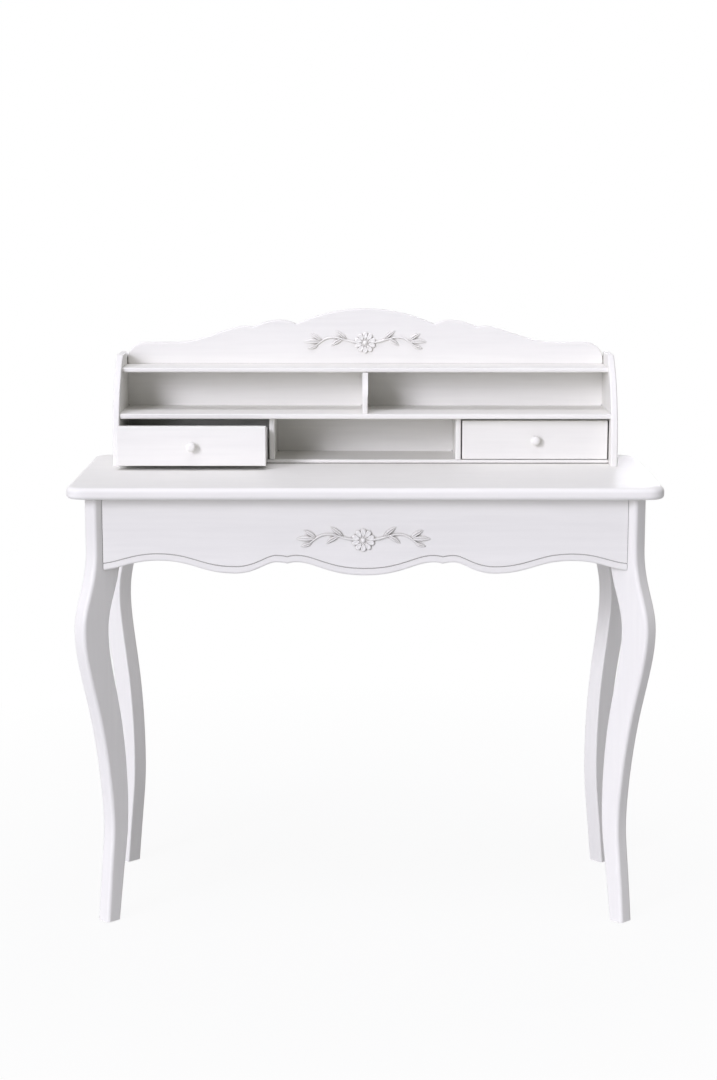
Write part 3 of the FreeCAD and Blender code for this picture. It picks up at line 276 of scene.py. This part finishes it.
def finish_of(part):
    """The material of a node; painted boards follow the run of their grain."""
    name = part["node"]
    slot = part["material_slot"]
    if name.startswith(UPRIGHT_PIECES) and slot == "white_paint":
        return PAINT_UPRIGHT
    if name in ("apron_left", "apron_right"):
        return PAINT_DEEP
    # The apron front and the crest take the copies with stronger painted shade
    if name == "apron_front":
        return PAINT_LINED
    if name == "crest_board":
        return PAINT_CARVED
    return MATERIALS[slot]


for part in frame["record"]["subparts"]:
    node = frame["nodes"][part["node"]]
    node.data.materials.clear()
    node.data.materials.append(finish_of(part))


# Carved sprays, in metres

FLOWER_RADIUS = 0.020
SPRAY_REACH = 0.114

# Points round a dome, rings from its middle to its rim, and the smallest ring as a share of the radius
DOME_POINTS = 28
DOME_RINGS = 9
DOME_MIDDLE = 0.002

# Petals, lengthwise and across as shares of the flower's radius
PETALS = 10
PETAL_MIDDLE = 0.64
PETAL_HALF_LENGTH = 0.36
PETAL_LENGTH = 0.72
PETAL_ROOT = 0.28
PETAL_HALF_WIDTH = 0.25
PETAL_ROOT_WIDTH = 0.66
PETAL_FLARE = 0.5
PETAL_HEIGHT = 0.0046
PETAL_SCOOP = 0.35

# Rounds in the middle of a flower: share of its radius, height, and how full the form is
COLLAR = (0.5, 0.0017, 6)
BOSS = (0.25, 0.006, 2)

# A spray's stem to the right of its flower, as shares of its half width
STEM = ((0.09, 0.01), (0.3, -0.03), (0.52, 0.22), (0.72, 0.12), (0.78, -0.13), (0.9, -0.085))
STEM_HALF_WIDTH = 0.0021
STEM_TAPER = 0.35
STEM_RISE = 1.9
STEM_STEPS = 30
STEM_TURNS = 8
STEM_PROBE = 0.01

# Its leaves: base, tip and half width as shares of the spray's half width, and how far each bows
LEAVES = (
    ((0.31, 0.055), (0.49, 0.2), 0.03, 0.25),
    ((0.3, 0.05), (0.385, 0.165), 0.018, -0.2),
    ((0.36, 0.065), (0.55, -0.055), 0.032, 0.35),
    ((0.76, -0.04), (0.93, -0.095), 0.026, -0.25),
    ((0.71, 0.02), (1.0, 0.015), 0.038, 0.2),
    ((0.7, 0.03), (0.89, 0.15), 0.032, 0.3),
)
LEAF_HEIGHT = 0.0044
LEAF_LEAN = 0.85
LEAF_FULLNESS = 0.75
LEAF_RIB = 0.5
LEAF_RIB_WIDTH = 0.24
LEAF_STEPS = 16
LEAF_HALF_COLUMNS = 6


class Relief:
    """Raised shapes on a flat face; x and z lie in the face, and height stands out of it."""

    def __init__(self):
        self.points = []
        self.faces = []

    def grid(self, rows, closed=False):
        """A sheet through rows of points with the same number each."""
        first = len(self.points)
        width = len(rows[0])
        for row in rows:
            self.points.extend(row)
        span = width if closed else width - 1
        for line in range(len(rows) - 1):
            for column in range(span):
                a = first + line * width + column
                b = first + line * width + (column + 1) % width
                self.faces.append((a, b, b + width, a + width))

    def dome(self, place, profile):
        """A round or oval form: place maps a radius and an angle to the face, profile gives its height."""
        rows = []
        for ring in range(DOME_RINGS + 1):
            radius = max(ring / DOME_RINGS, DOME_MIDDLE)
            row = []
            for step in range(DOME_POINTS):
                x, z = place(radius, 2 * math.pi * step / DOME_POINTS)
                row.append((x, z, profile(radius)))
            rows.append(row)
        self.grid(rows, closed=True)

    def piece(self, name, middle):
        """The relief as an object that faces the front, with its middle at a point of the face."""
        mesh = bpy.data.meshes.new(name)
        points = [(middle.x + x, middle.y - height, middle.z + z) for x, z, height in self.points]
        mesh.from_pydata(points, [], self.faces)
        mesh.shade_smooth()
        mesh.materials.append(PAINT_CARVED)
        obj = bpy.data.objects.new(name, mesh)
        scene.collection.objects.link(obj)
        return obj


def curve_point(poles, share):
    """A point on the curve of some poles."""
    points = [Vector(pole) for pole in poles]
    while len(points) > 1:
        points = [a.lerp(b, share) for a, b in zip(points, points[1:])]
    return points[0]


def add_petal(relief, turn):
    """A scooped petal that widens away from the flower's middle."""
    out = Vector((math.sin(turn), math.cos(turn)))
    across = Vector((out.y, -out.x))

    def place(radius, angle):
        along = PETAL_MIDDLE - PETAL_HALF_LENGTH * radius * math.cos(angle)
        flare = PETAL_ROOT_WIDTH + PETAL_FLARE * (along - PETAL_ROOT) / PETAL_LENGTH
        half = PETAL_HALF_WIDTH * flare
        point = (out * along + across * half * radius * math.sin(angle)) * FLOWER_RADIUS
        return point.x, point.y

    def profile(radius):
        rim = math.sqrt(max(0.0, 1 - radius ** 4))
        return PETAL_HEIGHT * rim * (1 - PETAL_SCOOP * (1 - radius ** 2) ** 2)

    relief.dome(place, profile)


def add_round(relief, share, height, fullness):
    """A round form in the middle of a flower."""

    def place(radius, angle):
        reach = share * FLOWER_RADIUS * radius
        return reach * math.cos(angle), reach * math.sin(angle)

    def profile(radius):
        return height * math.sqrt(max(0.0, 1 - radius ** fullness))

    relief.dome(place, profile)


def add_flower(relief):
    """Petals round a domed boss that sits on a low collar."""
    for index in range(PETALS):
        add_petal(relief, 2 * math.pi * index / PETALS)
    add_round(relief, *COLLAR)
    add_round(relief, *BOSS)


def add_stem(relief, side):
    """A rounded stem that thins towards its bud."""
    rows = []
    for step in range(STEM_STEPS + 1):
        share = step / STEM_STEPS
        here = curve_point(STEM, share)
        ahead = curve_point(STEM, min(share + STEM_PROBE, 1.0))
        behind = curve_point(STEM, max(share - STEM_PROBE, 0.0))
        run = ahead - behind
        across = Vector((-run.y, run.x)).normalized()
        half = STEM_HALF_WIDTH * (1.0 - STEM_TAPER * share)
        row = []
        for turn in range(STEM_TURNS + 1):
            angle = math.pi * turn / STEM_TURNS
            point = here * SPRAY_REACH + across * half * math.cos(angle)
            row.append((side * point.x, point.y, STEM_RISE * half * math.sin(angle)))
        rows.append(row if side > 0 else row[::-1])
    relief.grid(rows)


def add_leaf(relief, side, base, tip, width, bow):
    """A bowed leaf with a raised body and a sunk rib down its middle."""
    start, end = Vector(base), Vector(tip)
    run = end - start
    across = Vector((-run.y, run.x)).normalized()
    rows = []
    for step in range(LEAF_STEPS + 1):
        share = step / LEAF_STEPS
        swell = 0.0
        if 0 < share < 1:
            swell = math.sin(math.pi * share ** LEAF_LEAN) ** LEAF_FULLNESS
        middle = start + run * share + across * (bow * width * math.sin(math.pi * share))
        row = []
        for column in range(-LEAF_HALF_COLUMNS, LEAF_HALF_COLUMNS + 1):
            offset = column / LEAF_HALF_COLUMNS
            point = (middle + across * (width * swell * offset)) * SPRAY_REACH
            body = max(0.0, 1 - offset ** 4) ** 0.5 * swell
            rib = LEAF_RIB * math.exp(-(offset / LEAF_RIB_WIDTH) ** 2) * swell
            row.append((side * point.x, point.y, LEAF_HEIGHT * (body - rib)))
        rows.append(row[::-1] if side > 0 else row)
    relief.grid(rows)


def make_spray(name, node):
    """The carved form of a flower spray, in the place of its plain solid."""
    low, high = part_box(node)
    relief = Relief()
    add_flower(relief)
    for side in (-1, 1):
        add_stem(relief, side)
        for leaf in LEAVES:
            add_leaf(relief, side, *leaf)
    middle = Vector(((low.x + high.x) / 2, high.y, low.z + FLOWER_RADIUS))
    piece = relief.piece(name, middle)
    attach(piece, "desk")
    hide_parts(node)


make_spray("apron_carving", "apron_spray")
make_spray("crest_carving", "crest_spray")


# Floor, light and camera

# The floor shows its shadow near the desk and fades to white between two distances from it
FLOOR_HALF = 12.0
FLOOR_DROP = 0.0002
FLOOR_TONES = ((0.3, 0.58), (0.7, 0.62))
FLOOR_ROUGHNESS = 0.9
FLOOR_FADE = {"From Min": 0.6, "From Max": 1.6, "To Min": 0.93, "To Max": 1.0}

FILL_LEVEL = 0.11
FILL_OVERHEAD = 0.52
FILL_COLOUR = (1.0, 0.99, 1.05, 1.0)
WHITE = (1.0, 1.0, 1.0, 1.0)

# Each lamp: name, direction from the desk, strength, spread in degrees, colour
FRONT_COLOUR = (1.0, 0.99, 1.13)
SOFT_COLOUR = (1.0, 0.99, 1.1)
LAMPS = (
    ("low_front_lamp", (-0.533, -0.82, 0.208), 1.18, 25, FRONT_COLOUR),
    ("high_front_lamp", (-0.524, -0.748, 0.407), 1.04, 18, FRONT_COLOUR),
    ("upper_lamp", (-0.05, -0.24, 0.97), 1.02, 30, SOFT_COLOUR),
    ("back_lamp", (0.15, 1.0, 0.02), 0.8, 10, SOFT_COLOUR),
)
LAMP_DISTANCE = 2

# The photograph's viewpoint: millimetres for the lens, degrees for the angles
CAMERA_SENSOR = 36.0
CAMERA_LENS = 70.05
CAMERA_PLACE = (0.0012, -3.6651, 1.2829)
CAMERA_DOWN = 9.865
CAMERA_TURN = 0.201


def camera_like_rays(tree):
    """1 for rays that the eye, a mirror or glass would follow, else 0."""
    path = add(tree, "LightPath")
    either = add(tree, "Math", operation="MAXIMUM")
    tree.links.new(path.outputs["Is Camera Ray"], either.inputs[0])
    tree.links.new(path.outputs["Is Glossy Ray"], either.inputs[1])
    last = add(tree, "Math", operation="MAXIMUM")
    tree.links.new(either.outputs[0], last.inputs[0])
    tree.links.new(path.outputs["Is Transmission Ray"], last.inputs[1])
    return last.outputs[0]


def floor_material():
    """A matte floor, mixed with white for the eye by its distance from the desk."""
    material, tree, shader = new_material("floor")
    tone = ramp(tree, noise(tree, scale=1.5), FLOOR_TONES)
    tree.links.new(tone, shader.inputs["Base Color"])
    shader.inputs["Roughness"].default_value = FLOOR_ROUGHNESS
    shader.inputs["Specular IOR Level"].default_value = 0.0
    white = add(tree, "Emission", Strength=1.0)
    coordinates = add(tree, "TexCoord")
    away = add(tree, "VectorMath", operation="LENGTH")
    tree.links.new(coordinates.outputs["Object"], away.inputs[0])
    fade = add(tree, "MapRange", **FLOOR_FADE)
    tree.links.new(away.outputs["Value"], fade.inputs["Value"])
    seen = add(tree, "Math", operation="MULTIPLY")
    tree.links.new(camera_like_rays(tree), seen.inputs[0])
    tree.links.new(fade.outputs["Result"], seen.inputs[1])
    mixed = add(tree, "MixShader")
    tree.links.new(seen.outputs[0], mixed.inputs["Fac"])
    tree.links.new(shader.outputs["BSDF"], mixed.inputs[1])
    tree.links.new(white.outputs["Emission"], mixed.inputs[2])
    tree.links.new(mixed.outputs["Shader"], tree.nodes["Material Output"].inputs["Surface"])
    return material


def make_floor():
    """A pale floor that shows a faint shadow and fades into the backdrop."""
    mesh = bpy.data.meshes.new("floor")
    corners = [
        (-FLOOR_HALF, -FLOOR_HALF, 0),
        (FLOOR_HALF, -FLOOR_HALF, 0),
        (FLOOR_HALF, FLOOR_HALF, 0),
        (-FLOOR_HALF, FLOOR_HALF, 0),
    ]
    mesh.from_pydata(corners, [], [(0, 1, 2, 3)])
    mesh.materials.append(floor_material())
    floor = bpy.data.objects.new("floor", mesh)
    floor.location.z = cad_box[0][2] - FLOOR_DROP
    scene.collection.objects.link(floor)


def make_world():
    """Pale light all round, stronger from above, and seen as plain white."""
    world = bpy.data.worlds.new("studio")
    scene.world = world
    world.use_nodes = True
    tree = world.node_tree
    fill = tree.nodes["Background"]
    fill.inputs["Color"].default_value = FILL_COLOUR
    direction = add(tree, "TexCoord")
    parts = add(tree, "SeparateXYZ")
    tree.links.new(direction.outputs["Generated"], parts.inputs["Vector"])
    rise = add(tree, "MapRange", **{"To Min": FILL_LEVEL, "To Max": FILL_OVERHEAD})
    tree.links.new(parts.outputs["Z"], rise.inputs["Value"])
    tree.links.new(rise.outputs["Result"], fill.inputs["Strength"])
    white = add(tree, "Background", Strength=1.0, Color=WHITE)
    mixed = add(tree, "MixShader")
    tree.links.new(camera_like_rays(tree), mixed.inputs["Fac"])
    tree.links.new(fill.outputs["Background"], mixed.inputs[1])
    tree.links.new(white.outputs["Background"], mixed.inputs[2])
    tree.links.new(mixed.outputs["Shader"], tree.nodes["World Output"].inputs["Surface"])


def make_lamp(name, towards, strength, spread, colour):
    """A broad soft lamp that stands in a direction from the desk."""
    light = bpy.data.lights.new(name, "SUN")
    light.energy = strength
    light.angle = math.radians(spread)
    light.color = colour
    lamp = bpy.data.objects.new(name, light)
    lamp.location = Vector(towards) * LAMP_DISTANCE
    lamp.rotation_euler = Vector(towards).to_track_quat("Z", "Y").to_euler()
    scene.collection.objects.link(lamp)


def make_camera():
    """The photograph's viewpoint: close to the desk's middle plane, looking down a little."""
    data = bpy.data.cameras.new("camera")
    data.sensor_fit = "VERTICAL"
    data.sensor_height = CAMERA_SENSOR
    data.lens = CAMERA_LENS
    camera = bpy.data.objects.new("camera", data)
    camera.location = CAMERA_PLACE
    camera.rotation_euler = (math.radians(90 - CAMERA_DOWN), 0.0, math.radians(CAMERA_TURN))
    scene.collection.objects.link(camera)
    scene.camera = camera


make_floor()
make_world()
for lamp in LAMPS:
    make_lamp(*lamp)
make_camera()
